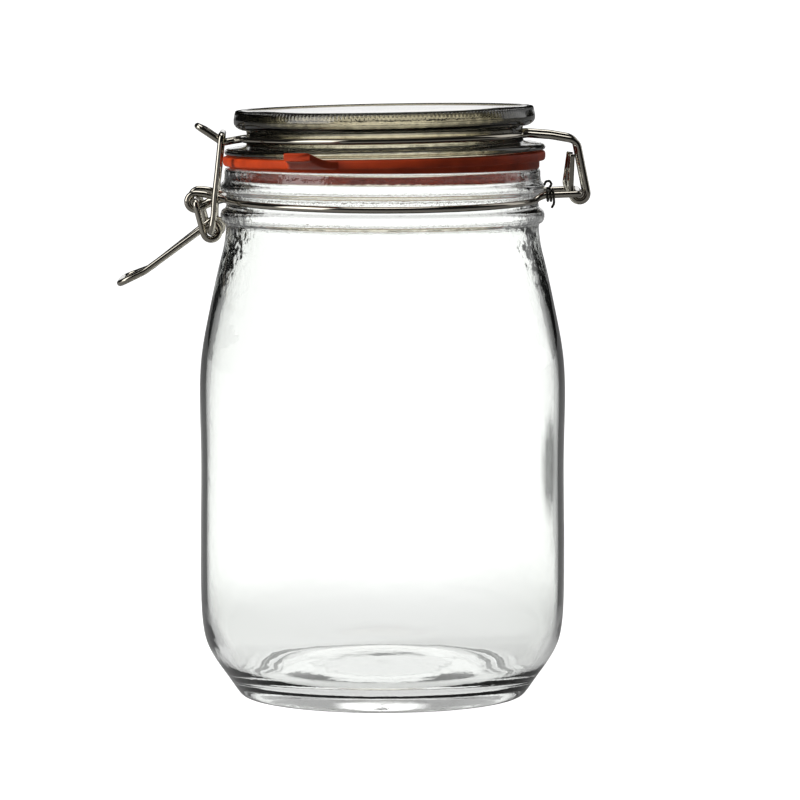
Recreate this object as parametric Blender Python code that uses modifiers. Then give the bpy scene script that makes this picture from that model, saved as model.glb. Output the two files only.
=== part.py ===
import math

import bpy
from mathutils import Vector

# A one-litre clip top preserving jar of pressed glass, standing upright and empty, lid shut.
# The jar's own axis is vertical. Heights are above the surface it stands on.
# Positions of the closure are given from the jar's axis: the lever is at -X, the hinge at +X.

# Jar body
BODY_R = 0.0529
SHOULDER_R = 0.0531
WAIST_R = 0.0526
NECK_R = 0.0453
WALL = 0.0029
FOOT_R = 0.0405
PUNT_R = 0.0247
FLOOR_Z = 0.0066
PUNT_Z = 0.0088
MOUTH_R = 0.0402

# Jar neck finish, by height
LIP_Z = 0.1534
LIP_R = 0.0457
COLLAR_R = 0.0469
COLLAR_TOP_Z = 0.1486
COLLAR_LOW_Z = 0.1464
WIRE_SEAT_R = 0.0451
BEAD_TOP_Z = 0.1414
BEAD_LOW_Z = 0.1374

# Closure wire
WIRE_R = 0.00095
TIE_R = 0.00035
NECK_WIRE_Z = 0.1449
NECK_WIRE_R = 0.0464
NECK_WIRE_DROP = 0.0016
REAR_ARM_Y = 0.0150
HOOK_Y = 0.0125
HOOK_R = 0.0023
HINGE = Vector((0.0566, 0.0, 0.1464))
REAR_ARM_Z = 0.1460
TAIL_TOP_Z = 0.1576

# Lever side
EYE = Vector((-0.0536, 0.0, 0.1441))
EYE_Y = 0.0135
EYE_R = 0.00235
COIL = Vector((-0.0490, 0.0, 0.1355))
COIL_R = 0.00222
COIL_Y = 0.0160
HANDLE_Y = 0.0136
HANDLE_END_Y = 0.0148
HANDLE_BEND = Vector((-0.0683, 0.0, 0.1241))
HANDLE_TIP = Vector((-0.0755, 0.0, 0.1206))
FAR_BEND = Vector((-0.0680, 0.0, 0.1234))
LINK_Y = 0.0184
FOOT_END_Y = 0.0118
BAR_END_Y = 0.0056
LINK_LEG = [(-0.0482, 0.1404), (-0.0478, 0.1459), (-0.0470, 0.1528), (-0.0463, 0.1596)]
LINK_TOP = (-0.0459, 0.1634)
FAR_LEG_OUT = 0.0008
FAR_TOP_DOWN = 0.0006

# Lid and seal, in the lid's own level frame: heights above the underside of the seal
LID_TILT = math.radians(-1.06)
LID_X = 0.00096
SEAL_Z = 0.15584
SEAL_T = 0.0027
SEAL_R = 0.04664
SEAL_X = 0.0007
SEAL_HOLE_R = 0.0406
FLANGE_R = 0.0464
FLANGE_LOW = 0.0030
GROOVE_R = 0.0399
GROOVE_LOW = 0.0060
GROOVE_TOP = 0.0096
RIM_R = 0.0437
TOP_R = 0.0432
LID_TOP = 0.01575
LID_WIRE_RISE = 0.0076
LID_WIRE_R = 0.04125
PLUG_R = 0.0395
HOLLOW_R = 0.0356
HOLLOW_TOP = 0.0114
TONGUE_Y = 0.0042

# Pull tab of the seal
TAB_ANGLE = math.radians(26.0)
TAB_LENGTH = 0.0100
TAB_WIDTH = 0.0084
TAB_T = 0.0024
TAB_RISE = 0.0026
TAB_FLARE = 0.0068

# The clip reaches further on the lever's side, so the jar's axis stands off the middle of the whole
LEVER_REACH = -HANDLE_TIP.x + WIRE_R
HINGE_REACH = HINGE.x + HOOK_R + WIRE_R
AXIS_X = (LEVER_REACH - HINGE_REACH) / 2

SEGMENTS = 40


def clear_scene():
    for obj in list(bpy.data.objects):
        bpy.data.objects.remove(obj, do_unlink=True)


def new_collection(name):
    collection = bpy.data.collections.new(name)
    bpy.context.scene.collection.children.link(collection)
    return collection


def make_material(name, colour, roughness, metallic=0.0, transmission=0.0):
    material = bpy.data.materials.new(name)
    material.use_nodes = True
    shader = material.node_tree.nodes["Principled BSDF"]
    shader.inputs["Base Color"].default_value = (*colour, 1.0)
    shader.inputs["Roughness"].default_value = roughness
    shader.inputs["Metallic"].default_value = metallic
    shader.inputs["Transmission Weight"].default_value = transmission
    return material


def rounded(points, radius, steps=3, closed=False):
    """The same line with each corner turned on about this radius."""
    count = len(points)
    line = []
    for i, corner in enumerate(points):
        if not closed and i in (0, count - 1):
            line.append(corner)
            continue
        before = points[i - 1] - corner
        after = points[(i + 1) % count] - corner
        turn = math.pi - before.angle(after)
        if turn < math.radians(8):
            line.append(corner)
            continue
        reach = min(radius * math.tan(turn / 2), 0.45 * before.length, 0.45 * after.length)
        start = corner + before.normalized() * reach
        end = corner + after.normalized() * reach
        for step in range(steps + 1):
            t = step / steps
            line.append((1 - t) ** 2 * start + 2 * t * (1 - t) * corner + t ** 2 * end)
    return line


def turned(name, profile, collection):
    """A solid of revolution about Z from (radius, height) points run down its outer side."""
    mesh = bpy.data.meshes.new(name)
    edges = [(i, i + 1) for i in range(len(profile) - 1)]
    mesh.from_pydata([(p[0], 0.0, p[1]) for p in profile], edges, [])
    obj = bpy.data.objects.new(name, mesh)
    collection.objects.link(obj)
    screw = obj.modifiers.new("turn", "SCREW")
    screw.steps = SEGMENTS
    screw.render_steps = SEGMENTS
    screw.use_merge_vertices = True
    screw.merge_threshold = 0.00002
    screw.use_smooth_shade = True
    return obj


def wire(name, points, collection, origin, radius=WIRE_R, closed=False):
    """A round wire through the points, which are given from the jar's axis."""
    curve = bpy.data.curves.new(name, "CURVE")
    curve.dimensions = "3D"
    curve.bevel_depth = radius
    curve.bevel_resolution = 2
    curve.use_fill_caps = True
    spline = curve.splines.new("POLY")
    spline.points.add(len(points) - 1)
    for target, point in zip(spline.points, points):
        target.co = (*(point - origin), 1.0)
    spline.use_cyclic_u = closed
    obj = bpy.data.objects.new(name, curve)
    collection.objects.link(obj)
    return obj


def pivot(name, position, collection, parent=None, tilt=0.0):
    """An empty on a joint's axis, which runs along Y."""
    empty = bpy.data.objects.new(name, None)
    empty.location = position
    empty.rotation_euler = (0.0, tilt, 0.0)
    empty.parent = parent
    collection.objects.link(empty)
    return empty


def vec2(radius, height):
    return Vector((radius, height))


def side_point(point, y):
    return Vector((point.x, y, point.z))


def arc_y(centre, radius, start, end, y_start, y_end, steps):
    """Points round an axis along Y, from one angle to another in degrees, sliding in Y as they go."""
    points = []
    for step in range(steps + 1):
        t = step / steps
        angle = math.radians(start + (end - start) * t)
        points.append(Vector((centre.x + radius * math.cos(angle), y_start + (y_end - y_start) * t,
                              centre.z + radius * math.sin(angle))))
    return points


def tangent_angle(centre, radius, target, side):
    """The angle in degrees where a line from the target meets a circle about an axis along Y."""
    dx = target.x - centre.x
    dz = target.z - centre.z
    spread = math.acos(radius / math.hypot(dx, dz))
    return math.degrees(math.atan2(dz, dx) + side * spread) % 360


def mirrored(points):
    """The far half of a symmetric wire, run back the other way."""
    return [Vector((p.x, -p.y, p.z)) for p in reversed(points)]


def make_jar(collection):
    inside_floor = [vec2(0.0, PUNT_Z), vec2(0.016, PUNT_Z - 0.0003), vec2(PUNT_R - 0.001, PUNT_Z - 0.0010),
                    vec2(PUNT_R + 0.002, FLOOR_Z), vec2(0.0320, FLOOR_Z - 0.0002)]
    inside_wall = [vec2(0.0375, 0.0075), vec2(0.0435, 0.0112), vec2(0.0475, 0.0165), vec2(0.0495, 0.0240),
                   vec2(BODY_R - WALL, 0.0350), vec2(WAIST_R - WALL, 0.0680),
                   vec2(SHOULDER_R - WALL, 0.0880), vec2(0.0497, 0.0990), vec2(0.0475, 0.1090),
                   vec2(0.0455, 0.1180), vec2(0.0437, 0.1260), vec2(NECK_R - WALL, 0.1340)]
    inside_neck = [vec2(0.0421, 0.1385), vec2(0.0411, 0.1425), vec2(MOUTH_R, 0.1460),
                   vec2(MOUTH_R, LIP_Z - 0.0009)]
    lip = [vec2(MOUTH_R + 0.0008, LIP_Z), vec2(LIP_R - 0.0009, LIP_Z), vec2(LIP_R, LIP_Z - 0.0009)]
    finish = [vec2(LIP_R, 0.1497), vec2(COLLAR_R, COLLAR_TOP_Z), vec2(COLLAR_R, COLLAR_LOW_Z + 0.0006),
              vec2(COLLAR_R - 0.0006, COLLAR_LOW_Z), vec2(WIRE_SEAT_R, COLLAR_LOW_Z - 0.0002),
              vec2(WIRE_SEAT_R, BEAD_TOP_Z + 0.0006), vec2(COLLAR_R - 0.0007, BEAD_TOP_Z),
              vec2(COLLAR_R, BEAD_TOP_Z - 0.0009), vec2(COLLAR_R, BEAD_LOW_Z + 0.0012),
              vec2(COLLAR_R - 0.0006, BEAD_LOW_Z + 0.0002), vec2(NECK_R, BEAD_LOW_Z - 0.0002)]
    outside = [vec2(NECK_R, 0.1350), vec2(0.0459, 0.1305), vec2(0.0473, 0.1252), vec2(0.0487, 0.1190),
               vec2(0.0503, 0.1113), vec2(0.0519, 0.1033), vec2(0.0528, 0.0963), vec2(SHOULDER_R, 0.0870),
               vec2(WAIST_R, 0.0690), vec2(BODY_R, 0.0480), vec2(BODY_R, 0.0280), vec2(0.0522, 0.0190),
               vec2(0.0508, 0.0143), vec2(0.0485, 0.0104), vec2(0.0460, 0.0069), vec2(0.0440, 0.0041),
               vec2(0.0426, 0.0020)]
    foot = [vec2(0.0414, 0.0005), vec2(FOOT_R, 0.0), vec2(FOOT_R - 0.0013, 0.0), vec2(0.0381, 0.0009),
            vec2(0.0315, 0.0014), vec2(0.0303, 0.0023), vec2(0.0150, 0.0036), vec2(0.0, 0.0040)]
    profile = inside_floor + inside_wall + inside_neck + lip + finish + outside + foot
    jar = turned("jar", profile, collection)
    jar.location = (AXIS_X, 0.0, 0.0)
    return jar


def make_lid(collection):
    top = [vec2(0.0, LID_TOP - 0.0008), vec2(TOP_R - 0.0030, LID_TOP - 0.0008),
           vec2(TOP_R - 0.0022, LID_TOP), vec2(TOP_R - 0.0004, LID_TOP), vec2(TOP_R, LID_TOP - 0.0004)]
    rim = [vec2(RIM_R, 0.0124), vec2(RIM_R - 0.0005, 0.0112), vec2(0.0420, 0.0103), vec2(0.0403, 0.0100)]
    groove = [vec2(GROOVE_R, GROOVE_TOP), vec2(GROOVE_R, GROOVE_LOW), vec2(0.0410, 0.0054)]
    flange = [vec2(0.0455, 0.0049), vec2(FLANGE_R, 0.0043), vec2(FLANGE_R, 0.0034),
              vec2(FLANGE_R - 0.0005, FLANGE_LOW)]
    plug = [vec2(PLUG_R + 0.0004, FLANGE_LOW), vec2(PLUG_R, 0.0024), vec2(PLUG_R, -0.0004),
            vec2(PLUG_R - 0.0006, -0.0010), vec2(HOLLOW_R + 0.0012, -0.0010)]
    hollow = [vec2(HOLLOW_R, 0.0002), vec2(HOLLOW_R - 0.0005, 0.0085), vec2(0.0330, HOLLOW_TOP - 0.0004),
              vec2(0.0300, HOLLOW_TOP), vec2(0.0, HOLLOW_TOP)]
    profile = [p + vec2(0.0, SEAL_Z - HINGE.z) for p in top + rim + groove + flange + plug + hollow]
    lid = turned("lid", profile, collection)
    lid.location = (LID_X - HINGE.x, 0.0, 0.0)
    return lid


def make_seal(collection, cutters):
    """A flat ring with a flared pull tab that lifts towards its tip."""
    base = SEAL_Z - HINGE.z
    edge = 0.0004
    section = [vec2(SEAL_HOLE_R + edge, SEAL_T), vec2(SEAL_R - edge, SEAL_T), vec2(SEAL_R, SEAL_T - edge),
               vec2(SEAL_R, edge), vec2(SEAL_R - edge, 0.0), vec2(SEAL_HOLE_R + edge, 0.0),
               vec2(SEAL_HOLE_R, edge), vec2(SEAL_HOLE_R, SEAL_T - edge), vec2(SEAL_HOLE_R + edge, SEAL_T)]
    seal = turned("seal", [p + vec2(0.0, base) for p in section], collection)
    seal.location = (SEAL_X - HINGE.x, 0.0, 0.0)

    bpy.ops.mesh.primitive_grid_add(x_subdivisions=9, y_subdivisions=6, size=2.0)
    tab = bpy.context.object
    tab.name = "seal_tab"
    root_u = SEAL_R - 0.0025
    tip_u = SEAL_R + TAB_LENGTH
    for vertex in tab.data.vertices:
        along = (vertex.co.x + 1) / 2
        lift = max(0.0, (along - 0.2) / 0.8)
        half = TAB_WIDTH / 2 + TAB_FLARE * (1 - along) ** 2.5
        cross = vertex.co.y * half
        bulge = cross ** 2 / (2 * SEAL_R) * (1 - along)
        out = root_u + (tip_u - root_u) * along - bulge
        out -= 0.0012 * along ** 6 * vertex.co.y ** 4
        height = base + SEAL_T / 2 + TAB_RISE * lift ** 2 * (3 - 2 * lift)
        vertex.co = (-out * math.sin(TAB_ANGLE) + cross * math.cos(TAB_ANGLE),
                     -out * math.cos(TAB_ANGLE) - cross * math.sin(TAB_ANGLE), height)
    tab.location = seal.location
    thick = tab.modifiers.new("thick", "SOLIDIFY")
    thick.thickness = TAB_T
    thick.offset = 0.0
    for owner in list(tab.users_collection):
        owner.objects.unlink(tab)
    cutters.objects.link(tab)
    tab.hide_render = True
    tab.display_type = "WIRE"

    join = seal.modifiers.new("tab", "BOOLEAN")
    join.operation = "UNION"
    join.solver = "EXACT"
    join.object = tab
    return seal, tab


def neck_height(angle):
    """The neck wire hangs a little lower in front than at the sides."""
    return NECK_WIRE_Z - NECK_WIRE_DROP * max(0.0, -math.sin(angle))


def ring_points(centre_x, radius, start, end, steps, height):
    """Points round the jar from one angle to another in degrees."""
    points = []
    for step in range(steps + 1):
        angle = math.radians(start + (end - start) * step / steps)
        points.append(Vector((centre_x + radius * math.cos(angle), radius * math.sin(angle),
                              height(angle))))
    return points


def make_neck_wire(collection):
    """One closed wire: round the neck, out to an eye each side of the lever, back to the hinge bar."""
    rear = math.degrees(math.asin(REAR_ARM_Y / NECK_WIRE_R))
    front = math.degrees(math.asin(EYE_Y / NECK_WIRE_R))
    inner_y = EYE_Y - 0.0027
    inner = math.degrees(math.asin(inner_y / NECK_WIRE_R))
    bar = rounded([Vector((HINGE.x, 0.0, HINGE.z)), Vector((HINGE.x, -REAR_ARM_Y, HINGE.z)),
                   Vector((0.0466, -REAR_ARM_Y, REAR_ARM_Z)), Vector((0.0448, -REAR_ARM_Y, 0.1453))],
                  0.0013, 3)
    near_side = ring_points(0.0, NECK_WIRE_R, -rear - 1.5, -180 + front, 24, neck_height)
    out_run = [Vector((-0.0462, -EYE_Y, NECK_WIRE_Z + 0.0001)), Vector((-0.0510, -EYE_Y, EYE.z + 0.0021))]
    eye = arc_y(EYE, EYE_R, 92, 290, -EYE_Y, -EYE_Y, 7)
    back_run = [Vector((-0.0500, -EYE_Y + 0.0006, EYE.z - 0.0008)),
                Vector((-0.0473, -inner_y - 0.0003, 0.1442))]
    crossing = ring_points(0.0, NECK_WIRE_R, -180 + inner - 1.5, -180, 4, neck_height)
    half = bar + near_side + out_run + eye + back_run + crossing
    return wire("neck_wire", half[:-1] + mirrored(half)[:-1], collection, Vector(), closed=True)


def make_tie_wire(collection):
    """Thin binding wire: two turns round the near rear arm, with a curl above and a tail below."""
    middle = Vector((0.0, -REAR_ARM_Y, REAR_ARM_Z + 0.0001))
    turn_r = WIRE_R + 0.0004 + TIE_R
    first_x = 0.0470
    pitch = 0.0009
    curl = [Vector((first_x - 0.0006, middle.y - 0.0008, 0.1490)),
            Vector((first_x - 0.0002, middle.y - 0.0009, 0.1500)),
            Vector((first_x + 0.0009, middle.y - 0.0008, 0.1502)),
            Vector((first_x + 0.0015, middle.y - 0.0005, 0.1493)),
            Vector((first_x + 0.0009, middle.y - 0.0001, 0.1482))]
    turns = []
    per_turn = 12
    total = int(2.5 * per_turn)
    for step in range(total + 1):
        angle = math.radians(90 + 360 * step / per_turn)
        along = pitch * step / per_turn
        turns.append(Vector((first_x + along, middle.y + turn_r * math.cos(angle),
                             middle.z + turn_r * math.sin(angle))))
    last = turns[-1]
    tail = [last + Vector((-0.0001, -0.0004, -0.0009)), last + Vector((-0.0007, -0.0006, -0.0019))]
    return wire("tie_wire", curl + turns + tail, collection, Vector(), TIE_R)


def make_lid_wire(collection):
    """One wire, in the lid's level frame: tail, hinge hook, arm, half the groove, tongue, and back."""
    ring_z = SEAL_Z + LID_WIRE_RISE
    arm = math.degrees(math.asin(HOOK_Y / LID_WIRE_R))
    prong = math.degrees(math.asin(TONGUE_Y / LID_WIRE_R))
    tail = [Vector((0.0543, -HOOK_Y, TAIL_TOP_Z)), Vector((0.0534, -HOOK_Y, 0.1500))]
    hook = arc_y(HINGE, HOOK_R, 185, 372, -HOOK_Y, -HOOK_Y, 8)
    riser = rounded([hook[-1], Vector((0.0563, -HOOK_Y, 0.1608)), Vector((0.0545, -HOOK_Y, 0.1619)),
                     Vector((0.0488, -HOOK_Y, 0.1630)), Vector((0.0420, -HOOK_Y, ring_z + 0.0002))],
                    0.0028, 3)[1:]
    side = ring_points(LID_X, LID_WIRE_R, -arm - 2.0, -180 + prong + 2.0, 22, lambda angle: ring_z)
    valley = Vector((-0.0458, -TONGUE_Y, 0.1625))
    near_half = tail + hook + riser + side + [Vector((-0.0420, -TONGUE_Y, ring_z - 0.0003)), valley]
    far_half = mirrored(near_half)
    far_half[-1] = Vector((0.0551, HOOK_Y, TAIL_TOP_Z - 0.0006))
    tip = rounded([valley, Vector((-0.0536, -TONGUE_Y, 0.1679)), Vector((-0.0512, TONGUE_Y, 0.1663)),
                   Vector((valley.x, TONGUE_Y, valley.z))], 0.0022, 4)[1:-1]
    return wire("lid_wire", near_half + tip + far_half, collection, HINGE)


def make_lever(collection):
    """One wire: pivot end through the eye, arm, coil round the link's foot, handle, and back."""
    coil_in = tangent_angle(COIL, COIL_R, EYE, 1)
    coil_out = tangent_angle(COIL, COIL_R, HANDLE_BEND, -1) + 360
    pin = rounded([side_point(EYE, -EYE_Y + 0.0019), side_point(EYE, -COIL_Y),
                   arc_y(COIL, COIL_R, coil_in, coil_in, -COIL_Y, -COIL_Y, 1)[0]], 0.0013, 3)[:-1]
    coil = arc_y(COIL, COIL_R, coil_in, coil_out, -COIL_Y, -HANDLE_Y, 11)
    bend_y = HANDLE_END_Y - 0.0002
    handle = rounded([coil[-1], side_point(HANDLE_BEND, -bend_y), side_point(HANDLE_TIP, -HANDLE_END_Y),
                      side_point(HANDLE_TIP, HANDLE_END_Y), side_point(FAR_BEND, bend_y),
                      mirrored(coil)[0]], 0.0042, 4)[1:-1]
    return wire("lever", pin + coil + handle + mirrored(pin + coil), collection, EYE)


def make_link(name, side, outward, lowered, collection):
    """Half of the link: a foot through the lever's coil, a leg and its part of the top bar.

    The real bar is whole and lies on the tongue. Here it stops beside the tongue, so the link can swing.
    """
    leg = [Vector((x - outward, side * LINK_Y, z)) for x, z in LINK_LEG]
    top = Vector((LINK_TOP[0] - outward, 0.0, LINK_TOP[1] - lowered))
    path = [side_point(COIL, side * FOOT_END_Y), side_point(COIL, side * LINK_Y)] + leg
    path += [side_point(top, side * LINK_Y), side_point(top, side * BAR_END_Y)]
    return wire(name, rounded(path, 0.0018, 4), collection, COIL)


def main():
    clear_scene()
    parts = new_collection("clip_top_jar")
    cutters = new_collection("joined_shapes")
    axis = Vector((AXIS_X, 0.0, 0.0))
    lid_hinge = pivot("lid_hinge", HINGE + axis, parts, tilt=LID_TILT)
    lever_pivot = pivot("lever_pivot", EYE + axis, parts)
    link_pivot = pivot("link_pivot", COIL - EYE, parts, parent=lever_pivot)

    glass = make_material("clear_glass", (0.90, 0.93, 0.91), 0.03, transmission=0.9)
    lid_glass = make_material("lid_glass", (0.84, 0.87, 0.82), 0.05, transmission=0.85)
    steel = make_material("bright_wire", (0.55, 0.54, 0.51), 0.22, metallic=1.0)
    rubber = make_material("orange_rubber", (0.52, 0.07, 0.02), 0.55)

    jar = make_jar(parts)
    jar.data.materials.append(glass)
    lid = make_lid(parts)
    lid.data.materials.append(lid_glass)
    seal, tab = make_seal(parts, cutters)
    seal.data.materials.append(rubber)
    lid_wire = make_lid_wire(parts)
    neck_wire = make_neck_wire(parts)
    tie_wire = make_tie_wire(parts)
    lever = make_lever(parts)
    link_near = make_link("link_near", -1, 0.0, 0.0, parts)
    link_far = make_link("link_far", 1, FAR_LEG_OUT, FAR_TOP_DOWN, parts)
    for piece in (lid_wire, neck_wire, tie_wire, lever, link_near, link_far):
        piece.data.materials.append(steel)
    for piece in (neck_wire, tie_wire):
        piece.location = axis
    for piece in (lid, seal, tab, lid_wire):
        piece.parent = lid_hinge
    lever.parent = lever_pivot
    for piece in (link_near, link_far):
        piece.parent = link_pivot


main()
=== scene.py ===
import math

import bpy
import numpy as np
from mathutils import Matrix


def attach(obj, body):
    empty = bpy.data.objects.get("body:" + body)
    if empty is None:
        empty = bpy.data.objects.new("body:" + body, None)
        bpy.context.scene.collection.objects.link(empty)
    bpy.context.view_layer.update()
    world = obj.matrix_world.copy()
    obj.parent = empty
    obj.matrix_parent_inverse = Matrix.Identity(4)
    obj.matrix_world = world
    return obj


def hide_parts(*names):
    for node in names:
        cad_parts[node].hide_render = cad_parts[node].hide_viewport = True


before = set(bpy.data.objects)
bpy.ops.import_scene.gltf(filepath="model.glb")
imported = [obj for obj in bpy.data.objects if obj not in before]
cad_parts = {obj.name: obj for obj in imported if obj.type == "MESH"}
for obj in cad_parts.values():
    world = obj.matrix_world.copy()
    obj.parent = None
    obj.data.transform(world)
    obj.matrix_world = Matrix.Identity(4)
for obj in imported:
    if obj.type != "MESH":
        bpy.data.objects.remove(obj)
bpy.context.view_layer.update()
print("frame loaded")

# Sizes are millimetres from the jar's own axis and heights from the table, unless a note gives another unit.
millimetre = 0.001
axisX = 8.3
hinge = np.array([56.6, 0.0, 146.4])
lidTilt = math.radians(-1.06)


# sRGB hex to linear RGBA: each channel c becomes ((c + 0.055) / 1.055) ^ 2.4, or c / 12.92 when dark.
def hexColour(code):
    c = np.array([int(code[i:i + 2], 16) for i in (1, 3, 5)]) / 255
    c = np.where(c > 0.04045, ((c + 0.055) / 1.055) ** 2.4, c / 12.92)
    return (*[float(v) for v in c], 1.0)


# Adds a node with its settings and inputs. What an input is given is a number, a colour or a socket to link.
def addNode(tree, kind, settings=None, inputs=None):
    node = tree.nodes.new(kind)
    for name, value in (settings or {}).items():
        setattr(node, name, value)
    for name, value in (inputs or {}).items():
        if isinstance(value, bpy.types.NodeSocket):
            tree.links.new(value, node.inputs[name])
        else:
            node.inputs[name].default_value = value
    return node


# An empty material and its output node.
def newMaterial(name):
    material = bpy.data.materials.new(name)
    material.use_nodes = True
    tree = material.node_tree
    tree.nodes.clear()
    output = addNode(tree, "ShaderNodeOutputMaterial")
    return material, tree, output


# Gives a colour ramp its stops, each a place from 0 to 1 and an sRGB hex colour.
def placeStops(ramp, stops):
    while len(ramp.elements) < len(stops):
        ramp.elements.new(0.5)
    for element, (position, code) in zip(ramp.elements, stops):
        element.position, element.color = position, hexColour(code)


# Turns points about the hinge line (along Y) by the lid's tilt: x' = x cos + z sin, z' = z cos - x sin.
def tiltWithLid(points):
    p = points - hinge
    c, s = math.cos(lidTilt), math.sin(lidTilt)
    return np.stack([p[..., 0] * c + p[..., 2] * s, p[..., 1], p[..., 2] * c - p[..., 0] * s], -1) + hinge


# Puts the points and faces into a smooth mesh that rides on its body. Marks are values for each point that the
# material reads. Stands lists the CAD nodes that the piece takes the place of.
def addPiece(name, points, faces, material, body, stands, marks=None):
    mesh = bpy.data.meshes.new(name)
    world = (points.reshape(-1, 3) + [axisX, 0, 0]) * millimetre
    mesh.from_pydata(world.tolist(), [], faces)
    mesh.polygons.foreach_set("use_smooth", np.ones(len(mesh.polygons), bool))
    for mark, values in (marks or {}).items():
        mesh.attributes.new(mark, "FLOAT", "POINT").data.foreach_set("value", values)
    mesh.update()
    obj = bpy.data.objects.new(name, mesh)
    bpy.context.scene.collection.objects.link(obj)
    mesh.materials.append(material)
    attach(obj, body)
    if stands:
        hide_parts(*stands)
    print(f"{name}: {len(mesh.polygons)} faces")
    return obj


# Quads between neighbouring rows and columns of a grid numbered row by row. The columns close into rings, and the
# rows do where asked.
def gridFaces(rows, columns, wrapRows=False):
    r = np.arange(rows if wrapRows else rows - 1)
    c = np.arange(columns)
    r0, c0 = np.meshgrid(r, c, indexing="ij")
    r1, c1 = (r0 + 1) % rows, (c0 + 1) % columns
    quads = [r0 * columns + c0, r1 * columns + c0, r1 * columns + c1, r0 * columns + c1]
    return np.stack(quads, -1).reshape(-1, 4).tolist()


# Chaikin's rule: each edge keeps its points at one and three quarters, and the ends stay.
def cutCorners(line, rounds):
    line = np.asarray(line, float)
    for _ in range(rounds):
        here, there = line[:-1], line[1:]
        cut = np.stack([0.75 * here + 0.25 * there, 0.25 * here + 0.75 * there], 1).reshape(-1, line.shape[1])
        line = np.vstack([line[:1], cut, line[-1:]])
    return line


# A profile (radius, height) carried round the axis: x = r cos a, y = r sin a, z = h. change(r, h, a) may shift
# r and h anywhere on the surface.
def turnedPoints(profile, segments, change=None):
    a = np.arange(segments) / segments * 2 * math.pi
    r = np.repeat(profile[:, :1], segments, 1)
    h = np.repeat(profile[:, 1:], segments, 1)
    if change:
        r, h = change(r, h, a[None, :])
    return np.stack([r * np.cos(a), r * np.sin(a), h], -1)


# Quads for the rings between two poles, and a fan of triangles at each pole.
def turnedFaces(rows, segments):
    faces = gridFaces(rows, segments)
    j = np.arange(segments)
    k = (j + 1) % segments
    first, last = rows * segments, rows * segments + 1
    faces += np.stack([np.full(segments, first), j, k], -1).tolist()
    tail = (rows - 1) * segments
    faces += np.stack([np.full(segments, last), tail + k, tail + j], -1).tolist()
    return faces


# Grid, faces and skin of a vessel whose profile (radius, height, skin) starts and ends on the axis. The skin is 1
# on the outer wall and 0 elsewhere, repeated for every point of a ring.
def turnedSolid(profile, segments, change=None, centre=0.0):
    rings = turnedPoints(profile[1:-1, :2], segments, change)
    poles = np.array([[0, 0, profile[0, 1]], [0, 0, profile[-1, 1]]], float)
    points = np.vstack([rings.reshape(-1, 3), poles]) + [centre, 0, 0]
    skin = np.concatenate([np.repeat(profile[1:-1, 2], segments), [0.0, 0.0]])
    return points, turnedFaces(len(profile) - 2, segments), skin


# The profile's runs joined in order, each point given the skin value of its run.
def skinnedOutline(piece, runs):
    return [(r, h, value) for key, value in runs for r, h in piece[key]]


# The polyline with each corner replaced by a quadratic arc that starts and ends radius tan(turn / 2) away, or at
# the given share of the shorter side.
def roundedLine(points, radius, steps=8, share=0.47):
    points = [np.asarray(p, float) for p in points]
    line = [points[0]]
    for before, corner, after in zip(points, points[1:], points[2:]):
        a, b = before - corner, after - corner
        la, lb = np.linalg.norm(a), np.linalg.norm(b)
        turn = math.pi - math.acos(np.clip(a @ b / la / lb, -1, 1))
        reach = min(radius * math.tan(turn / 2), share * la, share * lb)
        t = np.linspace(0, 1, steps + 1)[:, None]
        start, end = corner + a / la * reach, corner + b / lb * reach
        line += list((1 - t) ** 2 * start + 2 * t * (1 - t) * corner + t ** 2 * end)
    return np.array(line + [points[-1]])


# A helix about an axis along Y: angle from start to end in degrees while y goes from y0 to y1.
def arcY(centre, radius, start, end, y0, y1, steps=24):
    t = np.linspace(0, 1, steps + 1)
    a = np.radians(start + (end - start) * t)
    return np.stack([centre[0] + radius * np.cos(a), y0 + (y1 - y0) * t, centre[2] + radius * np.sin(a)], -1)


# An arc about the vertical axis, whose height is a number or a function of the angle.
def ringArc(x, radius, start, end, height, steps=96):
    a = np.radians(np.linspace(start, end, steps + 1))
    z = height(a) if callable(height) else np.full_like(a, height)
    return np.stack([x + radius * np.cos(a), radius * np.sin(a), z], -1)


# The mirror image across the plane y = 0, run backwards.
def otherHalf(points):
    return (points * [1, -1, 1])[::-1]


# The same line at even spacing, and eased by averaging each point with its neighbours.
def evenly(points, spacing, closed=False):
    if closed:
        points = np.vstack([points, points[:1]])
    length = np.concatenate([[0], np.cumsum(np.linalg.norm(np.diff(points, axis=0), axis=1))])
    keep = np.concatenate([[True], np.diff(length) > 1e-6])
    count = max(4, int(length[-1] / spacing))
    at = np.linspace(0, length[-1], count + 1)
    line = np.stack([np.interp(at, length[keep], points[keep, i]) for i in range(3)], -1)
    if closed:
        line = line[:-1]
        return (np.roll(line, 1, 0) + 2 * line + np.roll(line, -1, 0)) / 4
    line[1:-1] = (line[:-2] + 2 * line[1:-1] + line[2:]) / 4
    return line


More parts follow.
